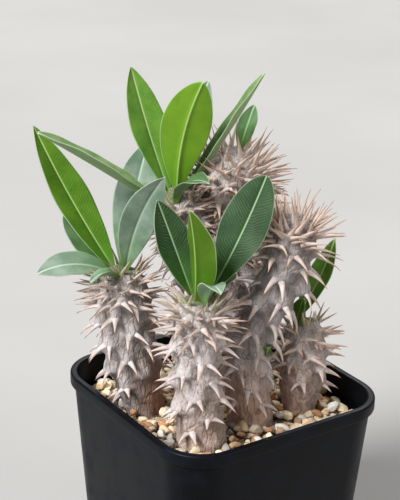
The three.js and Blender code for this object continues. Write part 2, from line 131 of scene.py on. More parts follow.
# Each stem follows a cubic curve from start through the pull of low and high to its apex. Its radii are
# those at the foot, half way and at the shoulder. The spines droop on the trunk, and rise by the two angles
# of crown_rise at the shoulder and the apex. Filled is the length of the crown that extra spines fill, with
# one spine on each fill_area.
STEMS = {
    "left": dict(
        start=(-23.9, 14.5, 71), low=(-28.2, 17.6, 89.9), high=(-30.2, 19.1, 107.8),
        apex=(-31.9, 20, 124.3), radii=(7.2, 9, 8.2), dome=8, turn=20,
        trunk_spine=8, crown_spine=7.8, crown_rise=(0, 20), droop=46, filled=13, fill_area=14,
    ),
    "front": dict(
        start=(-20.6, -18.5, 71), low=(-23.9, -16.1, 90.6), high=(-22.5, -17.1, 109.2),
        apex=(-22.5, -17.1, 125.2), radii=(8.7, 6.9, 9.6), dome=8, turn=75,
        trunk_spine=7.6, crown_spine=8.4, crown_rise=(4, 26), droop=40, filled=15, fill_area=13,
    ),
    "middle": dict(
        start=(3.8, -13.6, 71), low=(-4.4, -7.7, 124.5), high=(13.1, -20.4, 100.1),
        apex=(13.4, -20.6, 148.5), radii=(8.5, 6.6, 9.4), dome=9, turn=140,
        trunk_spine=9.5, crown_spine=9.8, crown_rise=(6, 50), droop=58, filled=9, fill_area=6,
    ),
    "back": dict(
        start=(8.6, 13.5, 71), low=(8.4, 12.9, 107), high=(10.3, 12.2, 139),
        apex=(12, 12.7, 163.8), radii=(11.2, 13, 11.2), dome=10.5, turn=200,
        trunk_spine=8.5, crown_spine=9.6, crown_rise=(6, 30), droop=48, filled=42, fill_area=12,
    ),
    "right": dict(
        start=(24.5, -16.3, 71), low=(24.4, -16.2, 83.4), high=(25.6, -17.1, 95.2),
        apex=(23.8, -15.8, 105.3), radii=(6.2, 7.8, 6.2), dome=6, turn=260,
        trunk_spine=7, crown_spine=7, crown_rise=(2, 30), droop=44, filled=11, fill_area=16,
    ),
    "branch": dict(
        start=(5.5, 15.2, 106), low=(0.9, 16.6, 122), high=(-3.7, 16.2, 138),
        apex=(-12, 16.8, 150), radii=(9.6, 9.4, 7.6), dome=6.5, turn=310,
        trunk_spine=8, crown_spine=7.6, crown_rise=(4, 40), droop=40, filled=28, fill_area=7.5,
    ),
}

# Leaves in degrees and millimetres: seat is the side of the crown where the leaf stands, heading and
# rise are its direction at the base, droop is how much it bends down to the tip, look is its palette
LEAVES = {
    "left": [
        dict(seat=95, heading=113, rise=47, droop=-11, length=59.4, width=14.2, roll=-20, fold=14,
             widest=0.5, look="fresh"),
        dict(seat=118, heading=111, rise=40, droop=4, length=26.6, width=10.5, roll=-25, fold=9,
             outer=True, look="grey"),
        dict(seat=150, heading=157, rise=33, droop=60, length=27.7, width=10.5, roll=-35, fold=10,
             look="pale"),
        dict(seat=-60, heading=-74, rise=82, droop=31, length=43.5, width=13, roll=120, fold=14,
             look="pale"),
        dict(seat=35, heading=38, rise=69, droop=24, length=48.2, width=15, roll=14, fold=10,
             look="pale"),
        dict(seat=-120, heading=-170, rise=51, droop=86, length=14.9, width=5, roll=0, fold=25,
             outer=True, look="pale"),
    ],
    "front": [
        dict(seat=109, heading=109, rise=64, droop=2, length=35.5, width=13.5, roll=-20, fold=9,
             look="dark"),
        dict(seat=-135, heading=-166, rise=91, droop=18, length=35.3, width=14, roll=0, fold=28,
             widest=0.45, look="olive"),
        dict(seat=-12, heading=0, rise=54, droop=-12, length=46.5, width=17, roll=30, fold=8,
             widest=0.62, blunt=0.55, look="dark"),
        dict(seat=-100, heading=-104, rise=88, droop=102, length=20.3, width=9, roll=0, fold=15,
             outer=True, look="pale"),
        dict(seat=8, heading=10, rise=39, droop=32, length=14.2, width=7, roll=0, fold=10,
             outer=True, look="pale"),
    ],
    "branch": [
        # Painted light: this leaf faces away from the key light and wears the light look, a lighter copy of
        # the fresh green
        dict(seat=90, heading=97, rise=57, droop=-9, length=47.6, width=14.2, roll=-10, fold=9,
             look="light"),
        dict(seat=-88, heading=-49, rise=94, droop=29, length=43.9, width=17.5, roll=-80, fold=8,
             widest=0.6, blunt=0.65, look="fresh"),
        dict(seat=20, heading=9, rise=80, droop=20, length=40.7, width=13, roll=35, fold=8,
             look="pale"),
        dict(seat=-20, heading=-26, rise=54, droop=-7, length=49.8, width=8.5, roll=0, fold=28,
             outer=True, look="silver"),
        dict(seat=-130, heading=-86, rise=72, droop=74, length=25.3, width=8, roll=20, fold=20,
             outer=True, look="grey"),
        dict(seat=165, heading=158, rise=34, droop=3, length=52.2, width=10.5, roll=0, fold=28,
             outer=True, look="silver"),
    ],
    "back": [
        dict(seat=21, heading=21, rise=63, droop=7, length=17.8, width=7.5, roll=10, fold=12,
             look="grey"),
    ],
    "right": [
        dict(seat=190, heading=0, rise=79, droop=10, length=11.4, width=7, roll=0, fold=14,
             outer=True, look="fresh"),
        dict(seat=120, heading=-3, rise=46, droop=-28, length=34.6, width=9, roll=20, fold=14,
             outer=True, look="light"),
    ],
}


# Small helpers on numbers and arrays

def blend(a, b, t):
    return a + (b - a) * t


def smoothstep(x, low, high):
    t = np.clip((x - low) / (high - low), 0, 1)
    return t * t * (3 - 2 * t)


def unit(v):
    return v / np.linalg.norm(v, axis=-1, keepdims=True)


def dot(a, b):
    return (a * b).sum(axis=-1)


def scatter(i, k):
    """A repeatable number from 0 to 1 for item i and channel k."""
    wave = np.sin(i * 12.9898 + k * 78.233) * 43758.5453
    return wave - np.floor(wave)


def ripple(points, size, seed=0):
    """Smooth noise from -1 to 1 at each point, with features about size millimetres wide."""
    q = points / np.asarray(size, float) + 37.7 * seed + 511.3
    cell = np.floor(q).astype(np.int64)
    t = q - cell
    t = t * t * (3 - 2 * t)
    total = np.zeros(q.shape[:-1])
    for corner in np.ndindex(2, 2, 2):
        key = cell + corner
        mixed = key[..., 0] * 73856093 ^ key[..., 1] * 19349663 ^ key[..., 2] * 83492791
        mixed = (mixed ^ (mixed >> 13)) * 1274126177 & 0xFFFFFFFF
        value = ((mixed ^ (mixed >> 16)) & 0xFFFF) / 0xFFFF
        weight = np.prod(np.where(corner, t, 1 - t), axis=-1)
        total += weight * value
    return total * 2 - 1


# Mesh helpers

def make_piece(name, points, faces, material, slot, nodes, sharp=None, **layers):
    """A mesh from millimetre points, riding on the body and standing for its CAD nodes."""
    mesh = bpy.data.meshes.new(name)
    mesh.from_pydata((np.asarray(points) * MM).tolist(), [], [tuple(face) for face in faces])
    for layer, values in layers.items():
        colours = np.ndim(values) == 2
        kind = "FLOAT_COLOR" if colours else "FLOAT"
        data = mesh.attributes.new(layer, kind, "POINT").data
        flat = np.asarray(values, np.float32).ravel()
        data.foreach_set("color" if colours else "value", flat)
    mesh.shade_smooth()
    if sharp is not None:
        mesh.set_sharp_from_angle(angle=math.radians(sharp))
    mesh.materials.append(material)
    mesh.update()
    piece = bpy.data.objects.new(name, mesh)
    bpy.context.scene.collection.objects.link(piece)
    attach(piece, BODY)
    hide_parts(*nodes)
    return piece


def ring_faces(rings, sides, first=0):
    """Quads between successive closed rings of points, facing out."""
    row, side = np.meshgrid(np.arange(rings - 1), np.arange(sides), indexing="ij")
    a = row * sides + side
    b = row * sides + (side + 1) % sides
    return (np.stack([a, b, b + sides, a + sides], axis=-1).reshape(-1, 4) + first).tolist()


def cap_faces(ring_start, sides, middle, turned):
    """Triangles from one ring to its middle point."""
    faces = []
    for side in range(sides):
        a = ring_start + side
        b = ring_start + (side + 1) % sides
        faces.append((b, a, middle) if turned else (a, b, middle))
    return faces


def loft(rings):
    """Points and faces of a closed body through rings of equal length."""
    rings = np.asarray(rings, float)
    count, sides = rings.shape[:2]
    middles = rings[[0, -1]].mean(axis=1)
    points = np.vstack([rings.reshape(-1, 3), middles])
    faces = ring_faces(count, sides)
    faces += cap_faces(0, sides, count * sides, turned=True)
    faces += cap_faces((count - 1) * sides, sides, count * sides + 1, turned=False)
    return points, faces


# Material helpers

def paint(code):
    """A linear colour from a web colour such as #c8b090."""
    channels = [int(code[i:i + 2], 16) / 255 for i in (1, 3, 5)]
    linear = [c / 12.92 if c <= 0.04045 else ((c + 0.055) / 1.055) ** 2.4 for c in channels]
    return (*linear, 1)


class Look:
    """The nodes of one material. Sizes are in millimetres on the object."""

    def __init__(self, name):
        self.material = bpy.data.materials.new(name)
        self.material.use_nodes = True
        self.tree = self.material.node_tree
        self.shader = self.tree.nodes["Principled BSDF"]
        self.place = self.add("TexCoord").outputs["Object"]

    def feed(self, socket, value):
        if isinstance(value, bpy.types.NodeSocket):
            self.tree.links.new(value, socket)
        else:
            socket.default_value = value

    def add(self, kind, **fill):
        node = self.tree.nodes.new("ShaderNode" + kind)
        for key, value in fill.items():
            socket = key.replace("_", " ")
            if socket in node.inputs:
                self.feed(node.inputs[socket], value)
            else:
                setattr(node, key, value)
        return node

    def math(self, operation, *values):
        node = self.add("Math", operation=operation)
        for socket, value in zip(node.inputs, values):
            self.feed(socket, value)
        return node.outputs[0]

    def mix(self, share, a, b, kind="MIX"):
        node = self.add("Mix", data_type="RGBA", blend_type=kind)
        for socket, value in zip((0, 6, 7), (share, a, b)):
            self.feed(node.inputs[socket], value)
        return node.outputs[2]

    def span(self, value, low, high, start=0.0, end=1.0):
        node = self.add("MapRange", interpolation_type="SMOOTHSTEP", Value=value)
        for key, number in (("From Min", low), ("From Max", high), ("To Min", start), ("To Max", end)):
            node.inputs[key].default_value = number
        return node.outputs[0]

    def layer(self, name):
        return self.add("Attribute", attribute_name=name).outputs["Fac"]

    def stretched(self, x, y, z):
        return self.add("Mapping", Vector=self.place, Scale=(x, y, z)).outputs[0]

    def noise(self, size, detail=3.0, vector=None, rough=0.55):
        node = self.add("TexNoise", Vector=vector or self.place, Scale=1 / (size * MM), Detail=detail)
        node.inputs["Roughness"].default_value = rough
        return node.outputs["Fac"]

    def cracks(self, size, vector=None):
        node = self.add("TexVoronoi", feature="DISTANCE_TO_EDGE", Vector=vector or self.place)
        node.inputs["Scale"].default_value = 1 / (size * MM)
        return node.outputs["Distance"]

    def done(self, colour, roughness, *heights):
        """Sets colour and roughness, and bumps from pairs of a height and its depth in millimetres."""
        self.feed(self.shader.inputs["Base Color"], colour)
        self.feed(self.shader.inputs["Roughness"], roughness)
        normal = None
        for height, depth in heights:
            bump = self.add("Bump", Height=height, Distance=depth * MM)
            if normal:
                self.feed(bump.inputs["Normal"], normal)
            normal = bump.outputs[0]
        if normal:
            self.feed(self.shader.inputs["Normal"], normal)
        return self.material


def plastic_look():
    look = Look("black_plastic")
    dust = look.span(look.noise(9, 5, rough=0.62), 0.42, 0.72)
    specks = look.span(look.noise(0.9, 2), 0.66, 0.74)
    streaks = look.noise(2.2, 4, look.stretched(1, 1, 0.12))
    colour = look.mix(dust, paint("#07090d"), paint("#0e121c"))
    colour = look.mix(look.math("MULTIPLY", specks, 0.15), colour, paint("#434954"))
    roughness = look.math("MULTIPLY_ADD", dust, 0.16, 0.34)
    look.shader.inputs["Specular IOR Level"].default_value = 0.1
    return look.done(colour, roughness, (streaks, 0.03), (look.noise(0.35, 2), 0.015))


def soil_look():
    look = Look("potting_mix")
    crumbs = look.noise(1.6, 4)
    colour = look.mix(look.span(crumbs, 0.35, 0.7), paint("#241a12"), paint("#5a4330"))
    return look.done(colour, 0.95, (crumbs, 0.8))


def grit_look():
    look = Look("fine_grit")
    grains = look.cracks(1.5)
    tint = look.noise(1.3, 2)
    colour = look.mix(look.span(tint, 0.35, 0.65), paint("#7c6752"), paint("#b5a084"))
    colour = look.mix(look.span(grains, 0.0, 0.12), paint("#2b2018"), colour)
    return look.done(colour, 0.9, (look.span(grains, 0, 0.3), 0.5))


def stone_look():
    look = Look("washed_stones")
    tint = look.add("Attribute", attribute_name="tint").outputs["Color"]
    clouds = look.span(look.noise(1.8, 4), 0.3, 0.75)
    grains = look.noise(0.28, 2)
    colour = look.mix(look.math("MULTIPLY", clouds, 0.45), tint, paint("#f0e0d2"), "MULTIPLY")
    colour = look.mix(look.span(grains, 0.62, 0.72, 0, 0.4), colour, paint("#7c6650"))
    colour = look.mix(look.span(look.noise(0.8, 2), 0.64, 0.74, 0, 0.3), colour, paint("#f4efe6"))
    return look.done(colour, 0.82, (look.noise(0.7, 3), 0.22), (grains, 0.06))


def bark_look():
    look = Look("bark")
    ridge, low, crown, aged = (look.layer(name) for name in ("ridge", "low", "crown", "aged"))
    # Warm foot tint: a real brown stain mixed with painted warm shade; where the pale layer is high it is
    # painted light that lifts a shadowed foot
    warm = look.mix(look.layer("pale"), paint("#8a5f47"), paint("#d6b09a"))
    tall = look.stretched(1, 1, 0.3)
    clouds = look.span(look.noise(5.5, 4), 0.34, 0.68)
    patches = look.span(look.noise(8, 3), 0.5, 0.68)
    flakes = look.span(look.noise(1.2, 5, rough=0.7), 0.47, 0.6)
    pits = look.span(look.noise(0.8, 4, rough=0.7), 0.6, 0.7)
    crack = look.cracks(2.1, tall)
    wander = look.noise(3.4, 3)
    streak = look.noise(1.0, 5, tall)
    colour = look.mix(clouds, paint("#9d9189"), paint("#c5bcba"))
    colour = look.mix(look.math("MULTIPLY", patches, 0.5), colour, paint("#8b6e5b"))
    colour = look.mix(look.math("MULTIPLY", flakes, 0.55), colour, paint("#d7d0d2"))
    # Painted shade in the hollows between the bumps, scaled by each stem's painted shade
    hollow_shade = look.math("MULTIPLY", look.span(ridge, 0.02, 0.3, 1, 0), look.span(look.noise(2.6, 4), 0.4, 0.6))
    shade_share = look.math("MULTIPLY", hollow_shade, look.math("MULTIPLY_ADD", aged, 0.7, 0.2))
    colour = look.mix(shade_share, colour, paint("#686059"))
    # Painted highlight on the tops of the bumps
    colour = look.mix(look.span(ridge, 0.25, 0.8, 0, 0.75), colour, paint("#dad3d3"))
    # Painted shade: each stem's bark is darkened by its own amount along its height
    colour = look.mix(look.math("MULTIPLY", aged, 0.6), colour, paint("#6f6968"))
    # The warm foot tint, a stain mixed with painted warm shade and light, on each stem's shaded side
    colour = look.mix(look.math("MULTIPLY", low, look.span(wander, 0.1, 0.5)), colour, warm)
    colour = look.mix(look.span(streak, 0.56, 0.7, 0, 0.35), colour, paint("#7d6a5b"))
    colour = look.mix(look.math("MULTIPLY", pits, 0.4), colour, paint("#5d4b3f"))
    dark = look.math("MULTIPLY", look.span(crack, 0.0, 0.055, 1, 0), look.span(wander, 0.46, 0.6))
    colour = look.mix(look.math("MULTIPLY", dark, 0.55), colour, paint("#4a3c34"))
    fresh = look.mix(flakes, paint("#4b5a26"), paint("#6c7638"))
    colour = look.mix(look.span(crown, 0.3, 1.0, 0, 0.8), colour, fresh)
    relief = look.math("ADD", look.span(crack, 0, 0.14, 0, 0.5), look.math("MULTIPLY", streak, 1.5))
    return look.done(colour, 0.8, (relief, 0.45), (look.noise(0.6, 4, rough=0.7), 0.22))


def spine_look():
    look = Look("spine")
    tip, warmth = look.layer("tip"), look.layer("warmth")
    grain = look.noise(0.5, 3)
    tint = look.span(look.noise(2.5, 2), 0.35, 0.65)
    along = look.math("ADD", tip, look.math("MULTIPLY", look.math("SUBTRACT", grain, 0.5), 0.3))
    base = look.mix(warmth, look.mix(tint, paint("#b3a59f"), paint("#cfc6c4")), paint("#c6b4a8"))
    middle = look.mix(warmth, paint("#bdaaa0"), paint("#b1917b"))
    colour = look.mix(look.span(along, 0.3, 0.75, 0, 0.8), base, middle)
    green = look.math("MULTIPLY", look.layer("young"), look.span(along, 0.15, 0.7, 0.75, 0))
    colour = look.mix(green, colour, paint("#87924c"))
    colour = look.mix(look.span(along, 0.78, 0.95), colour, paint("#93664a"))
    colour = look.mix(look.span(along, 0.93, 1.0), colour, paint("#643d27"))
    return look.done(colour, 0.62, (grain, 0.08))


VEIN_SPACING = 1.15
# Deep and light upper side, underside, midrib, how clearly the side veins show, and their slant
LEAF_PAINTS = {
    "fresh": ("#426b0e", "#517c16", "#668f1e", "#a9c678", 0.2, 0.5),
    "light": ("#4d7d22", "#679434", "#7b9c4a", "#b6cd8c", 0.16, 0.5),
    "olive": ("#40600e", "#557a1c", "#496a12", "#93b060", 0.2, 0.5),
    "dark": ("#1b3716", "#294726", "#55792e", "#8fad82", 0.24, 0.5),
    "pale": ("#667e6a", "#849686", "#8ca389", "#b2c4b0", 0.14, 1.2),
    "grey": ("#45623f", "#587650", "#6c8a62", "#95ae8c", 0.12, 0.9),
    "silver": ("#56743f", "#7c9865", "#859f75", "#a9bf90", 0.1, 0.9),
}


def leaf_look(name):
    *codes, clarity, slant = LEAF_PAINTS[name]
    deep, light, under_paint, rib_paint = (paint(code) for code in codes)
    look = Look("leaf_" + name)
    ahead, across, half, under = (look.layer(key) for key in ("ahead", "across", "half", "under"))
    off = look.math("ABSOLUTE", across)
    wander = look.noise(3.0, 3)
    # Close-set side veins leave the midrib at a steep angle and bend towards the tip
    bend = look.math("MULTIPLY", look.math("MULTIPLY", off, off), 0.035)
    run = look.math("SUBTRACT", look.math("SUBTRACT", ahead, look.math("MULTIPLY", off, slant)), bend)
    run = look.math("ADD", run, look.math("MULTIPLY", wander, 2.2))
    phase = look.math("FRACT", look.math("DIVIDE", run, VEIN_SPACING))
    to_vein = look.math("ABSOLUTE", look.math("SUBTRACT", phase, 0.5))
    patchy = look.span(look.noise(5, 3), 0.36, 0.6, 0.25, 1)
    vein = look.math("MULTIPLY", look.span(to_vein, 0.0, 0.13, 1, 0), patchy)
    quilt = look.span(to_vein, 0.0, 0.5)
    rib = look.span(off, 0.14, 0.42, 1, 0)
    margin = look.span(look.math("SUBTRACT", half, off), 0.08, 0.28, 1, 0)
    upper = look.mix(look.span(look.noise(7, 3), 0.3, 0.7), deep, light)
    upper = look.mix(look.math("MULTIPLY", vein, clarity), upper, rib_paint)
    lower = look.mix(look.span(look.noise(6, 3), 0.35, 0.7, 0, 0.45), under_paint, light)
    lower = look.mix(look.math("MULTIPLY", vein, 0.24), lower, deep)
    colour = look.mix(look.span(under, 0.4, 0.6), upper, lower)
    colour = look.mix(look.math("MULTIPLY", rib, 0.85), colour, rib_paint)
    colour = look.mix(look.math("MULTIPLY", margin, 0.5), colour, paint("#bccbaa"))
    colour = look.mix(look.span(ahead, 3, 22, 0.4, 0), colour, paint("#457a16"))
    colour = look.mix(look.span(ahead, 1, 7, 0.85, 0), colour, paint("#54742a"))
    roughness = look.math("MULTIPLY_ADD", look.noise(2.5, 3), 0.2, 0.44)
    look.shader.inputs["Specular IOR Level"].default_value = 0.22
    return look.done(colour, roughness, (quilt, 0.02), (look.noise(0.5, 2), 0.02))


def floor_look():
    look = Look("floor")
    cloud = look.noise(260, 3)
    colour = look.mix(look.span(cloud, 0.3, 0.7), paint("#a5a4a2"), paint("#abaaa8"))
    look.shader.inputs["Specular IOR Level"].default_value = 0.1
    return look.done(colour, 0.9, (look.noise(3, 2), 0.02))


MATERIALS = {
    "plastic": plastic_look(), "soil": soil_look(), "grit": grit_look(), "stone": stone_look(),
    "bark": bark_look(), "spine": spine_look(), "floor": floor_look(),
    **{name: leaf_look(name) for name in LEAF_PAINTS},
}


# Pot

LIP_BOTTOM = POT_HEIGHT - LIP_DEPTH
LIP_HALF = POT_WIDTH / 2
WALL_TOP_HALF = LIP_HALF - LIP_OVERHANG


def outer_half(z):
    return blend(WALL_TOP_HALF - POT_TAPER, WALL_TOP_HALF, z / LIP_BOTTOM)


def outer_corner(z):
    return blend(BASE_CORNER, LIP_CORNER - LIP_OVERHANG, z / LIP_BOTTOM)


def inner_half(z):
    return outer_half(z) - WALL


def inner_corner(z):
    return outer_corner(z) - WALL


def square_ring(half, corner, z, steps=CORNER_STEPS):
    """A rounded square, counterclockwise seen from above."""
    ring = []
    for quarter in range(4):
        sx = 1 if quarter in (0, 3) else -1
        sy = 1 if quarter < 2 else -1
        for step in range(steps + 1):
            angle = (quarter + step / steps) * math.pi / 2
            x = sx * (half - corner) + corner * math.cos(angle)
            y = sy * (half - corner) + corner * math.sin(angle)
            ring.append((x, y, z))
    return ring


def edge_arc(half, corner, z, radius, start, end, steps=5):
    """Rings round an edge, whose arc has its middle at half and z in a cut through the wall."""
    rings = []
    for step in range(steps + 1):
        angle = math.radians(blend(start, end, step / steps))
        out = radius * math.cos(angle)
        rings.append(square_ring(half + out, corner + out, z + radius * math.sin(angle)))
    return rings


def build_pot():
    edge = EDGE_ROUNDING
    small = LIP_FOOT_ROUNDING
    lip_inner = LIP_HALF - LIP_THICKNESS
    inner = inner_corner(LIP_BOTTOM)
    rings = edge_arc(outer_half(edge) - edge, outer_corner(edge) - edge, edge, edge, -90, 0)
    for share in np.linspace(0.1, 0.98, 9):
        z = LIP_BOTTOM * share
        rings.append(square_ring(outer_half(z), outer_corner(z), z))
    rings.append(square_ring(WALL_TOP_HALF, outer_corner(LIP_BOTTOM), LIP_BOTTOM))
    lip_low = LIP_BOTTOM + LIP_UNDERCUT + small
    rings += edge_arc(LIP_HALF - small, LIP_CORNER - small, lip_low, small, -90, 0)
    rings += edge_arc(LIP_HALF - edge, LIP_CORNER - edge, POT_HEIGHT - edge, edge, 0, 90, 7)
    rings += edge_arc(lip_inner + edge, inner + edge, POT_HEIGHT - edge, edge, 90, 180, 7)
    for share in (0.98, 0.75, 0.5, 0.25, 0.06):
        z = blend(FLOOR, LIP_BOTTOM, share)
        rings.append(square_ring(inner_half(z), inner_corner(z), z))
    rings.append(square_ring(inner_half(FLOOR) - 1, inner_corner(FLOOR) - 1, FLOOR))
    points, faces = loft(rings)
    pot = make_piece(
        "nursery_pot", points, faces, MATERIALS["plastic"], "pot_plastic", ["pot"], sharp=42,
    )
    for sx in (1, -1):
        for sy in (1, -1):
            drill_hole(pot, sx * DRAIN_OFFSET, sy * DRAIN_OFFSET)


def drill_hole(piece, x, y, sides=40):
    angles = np.linspace(0, 2 * math.pi, sides, endpoint=False)
    circle = np.stack([x + DRAIN_RADIUS * np.cos(angles), y + DRAIN_RADIUS * np.sin(angles)], axis=1)
    rings = [np.column_stack([circle, np.full(sides, z)]) for z in (-2, FLOOR + 2)]
    points, faces = loft(rings)
    mesh = bpy.data.meshes.new("drill")
    mesh.from_pydata((points * MM).tolist(), [], faces)
    drill = bpy.data.objects.new("drill", mesh)
    bpy.context.scene.collection.objects.link(drill)
    cut = piece.modifiers.new("drain", "BOOLEAN")
    cut.operation = "DIFFERENCE"
    cut.object = drill
    bpy.context.view_layer.update()
    graph = bpy.context.evaluated_depsgraph_get()
    carved = bpy.data.meshes.new_from_object(piece.evaluated_get(graph))
    piece.modifiers.remove(cut)
    piece.data = carved
    bpy.data.objects.remove(drill)


# Stems

class Stem:
    """A stem along a curve, with its bumps. Heights run along the curve, angles are in degrees."""

    def __init__(self, name, start, low, high, apex, **shape):
        self.name = name
        self.controls = np.array([start, low, high, apex], float)
        for key, value in shape.items():
            setattr(self, key, value)
        self.from_ground = name != "branch"
        self.node = "stem_" + name if self.from_ground else "stem_back"
        self.shares = np.linspace(0, 1, 201)
        steps = np.diff(self.curve(self.shares), axis=0)
        self.arc = np.concatenate([[0], np.cumsum(np.linalg.norm(steps, axis=1))])
        self.length = self.arc[-1]
        self.place_sites()

    def curve(self, t):
        t = np.asarray(t)[..., None]
        a, b, c, d = self.controls
        return a * (1 - t) ** 3 + b * 3 * t * (1 - t) ** 2 + c * 3 * t * t * (1 - t) + d * t ** 3

    def frame_at(self, along, angle):
        """The middle, the direction, and the ways across and out."""
        t = np.interp(along, self.arc, self.shares)[..., None]
        a, b, c, d = self.controls
        up = unit((b - a) * (1 - t) ** 2 + (c - b) * 2 * t * (1 - t) + (d - c) * t * t)
        east = unit(np.cross((0, 1, 0), up))
        north = np.cross(up, east)
        turn = np.radians(angle)[..., None]
        outward = east * np.cos(turn) + north * np.sin(turn)
        return self.curve(t[..., 0]), up, np.cross(up, outward), outward

    def dome_fraction(self, along):
        return np.clip((along - self.length + self.dome) / self.dome, 0, 1)

    def radius(self, along):
        t = np.clip(along / self.length, 0, 1)
        foot, waist, shoulder = self.radii
        body = foot * (1 - t) * (1 - 2 * t) + 4 * waist * t * (1 - t) + shoulder * t * (2 * t - 1)
        return body * np.sqrt(np.maximum(1 - self.dome_fraction(along) ** 2, 0))

    def crown_share(self, along):
        return smoothstep(along, self.length - CROWN_ZONE, self.length - CROWN_FULL)

    def place_sites(self):
        """Bumps follow a spiral, wide apart on the trunk and packed at the crown."""
        heights = []
        along = FIRST_SITE
        while along < self.length - 1:
            heights.append(along)
            area = blend(TRUNK_SITE_AREA, CROWN_SITE_AREA, self.crown_share(along))
            along += area / (2 * math.pi * max(self.radius(along), SMALLEST_TURN_RADIUS))
        self.site_along = np.array(heights)
        self.site_index = np.arange(len(heights))
        self.site_angle = self.turn + self.site_index * GOLDEN_ANGLE
        centre, up, across, outward = self.frame_at(self.site_along, self.site_angle)
        tilt = np.arcsin(self.dome_fraction(self.site_along))[:, None]
        self.site_up = up
        self.site_across = across
        self.site_normal = outward * np.cos(tilt) + up * np.sin(tilt)
        self.site_point = centre + outward * self.radius(self.site_along)[:, None]
        crown = self.crown_share(self.site_along)
        foot = smoothstep(self.site_along, 2, 16)
        size = blend(0.7, 1.15, scatter(self.site_index, 21))
        self.site_height = blend(BUMP_HEIGHT * foot * size, CROWN_BUMP_HEIGHT, crown)
        self.site_width = blend(BUMP_WIDTH * size, CROWN_BUMP_WIDTH, crown)

    def bumps(self, points):
        """Height of the nose-like bumps, gentle above each site and steep below it."""
        lift = np.zeros(len(points))
        for k in self.site_index:
            away = points - self.site_point[k]
            near = np.flatnonzero((np.abs(away) < 9).all(axis=1))
            away = away[near]
            crown = self.crown_share(self.site_along[k])
            side = dot(away, self.site_across[k]) / self.site_width[k]
            rise = dot(away, self.site_up[k])
            reach = np.where(rise > 0, blend(4.4, 2, crown), blend(1.9, 1.2, crown))
            depth = dot(away, self.site_normal[k]) / 5
            fall = np.exp(-side ** 2 - (rise / reach) ** 2 - depth ** 2)
            lift[near] += (self.site_height[k] * fall) ** 3
        return np.cbrt(lift)

    def skin(self, along, angle):
        """Points of the finished bark, the bump height there, and the bare radius share."""
        along, angle = np.broadcast_arrays(along, angle)
        shape = along.shape
        along, angle = along.ravel(), angle.ravel()
        centre, up, _, outward = self.frame_at(along, angle)
        tilt = np.arcsin(self.dome_fraction(along))[:, None]
        normal = outward * np.cos(tilt) + up * np.sin(tilt)
        bare = centre + outward * self.radius(along)[:, None]
        rise = np.maximum(along, 0)
        bumps = self.bumps(bare)
        in_dome = self.dome_fraction(along)
        calm = 1 - 0.7 * in_dome
        lumps = 0.6 * ripple(bare, 8) + 0.2 * ripple(bare, 3.2, 1)
        trunk = 1 - smoothstep(rise, 14, 42)
        ridged = 1 - np.abs(ripple(bare, (2.4, 2.4, 14), 2)) * 2
        fissures = blend(0.05, 0.22, trunk) * ridged
        scales = 0.11 * ripple(bare, 1.2, 3) + 0.17 * ripple(bare, (1.9, 1.9, 1.3), 4)
        lift = bumps + calm * (lumps + fissures + scales)
        points = bare + normal * lift[:, None]
        return points.reshape(*shape, 3), bumps.reshape(shape), in_dome.reshape(shape)


def build_bark(stem):
    """The fine bark body, returned as points and faces for the spines' clearance."""
    angles = np.linspace(0, 360, RING_SIDES, endpoint=False)
    straight = stem.length - stem.dome
    lowest = TRUNK_START if stem.from_ground else BRANCH_START
    trunk = np.linspace(lowest, straight, int((straight - lowest) / RING_STEP))
    lean = np.radians(np.linspace(0, 88.5, DOME_STEPS + 1)[1:])
    heights = np.concatenate([trunk, straight + stem.dome * np.sin(lean)])
    grid, bumps, in_dome = stem.skin(heights[:, None], angles[None, :])
    # The foot's warm tint: a real stain mixed with painted warm shade on the stem's shaded side; its pale
    # share is painted light
    warmth, shade_side, shadow_lift = FOOT_SHADE_TINTS[stem.name]
    # Painted shade for the whole bark, by each stem's amount at its foot and above
    shade_share = blend(*STEM_SHADE[stem.name], smoothstep(heights, *STEM_SHADE_ZONE))
    shade_facing = smoothstep(np.cos(np.radians(angles - shade_side)), -0.7, 0.9)
    low = warmth * (1 - smoothstep(heights, 2, 30))[:, None] * shade_facing
    below = np.minimum(heights, 0)
    grid[:, :, 2] += below[:, None]
    rings = list(grid)
    layers = {
        "ridge": list(np.clip(bumps / BUMP_HEIGHT, 0, 1)),
        "low": list(low),
        "crown": list(smoothstep(in_dome, 0.6, 0.97) * (stem.name not in BARE_CROWNS)),
        "aged": list(np.broadcast_to(shade_share[:, None], grid.shape[:2])),
        "pale": list(np.full(grid.shape[:2], shadow_lift)),
    }
    if stem.from_ground:
        for share, depth in BURIED_RINGS:
            middle = grid[0].mean(axis=0)
            ring = middle + (grid[0] - middle) * share
            ring[:, 2] = GRAVEL_LEVEL - depth
            rings.insert(0, ring)
            for values in layers.values():
                values.insert(0, values[0])
    points, faces = loft(rings)
    flat = {}
    for key, values in layers.items():
        ends = [np.mean(values[0]), np.mean(values[-1])]
        flat[key] = np.concatenate([np.asarray(values).ravel(), ends])
    make_piece("bark_" + stem.name, points, faces, MATERIALS["bark"], "bark", [stem.node], **flat)
    return points, faces


# Spines

def spine_seats(stem):
    """Height, angle, side and number of each spine: pairs on the bumps, single ones that fill the crown."""
    seats = []
    for k in stem.site_index:
        along = stem.site_along[k]
        if along > BARE_ZONE or scatter(k, 3) > BARE_SHARE:
            seats += [(along, stem.site_angle[k], side, k) for side in (1, -1)]
    along = stem.length - stem.filled
    k = FIRST_FILLER
    while along < stem.length - 0.5:
        seats.append((along, stem.turn + k * GOLDEN_ANGLE, 0, k))
        packed = smoothstep(along, stem.length - stem.filled, stem.length - stem.filled * 0.5)
        area = blend(SPARSE_AREA, stem.fill_area, packed)
        along += area / (2 * math.pi * max(stem.radius(along), 2.5))
        k += 1
    return seats


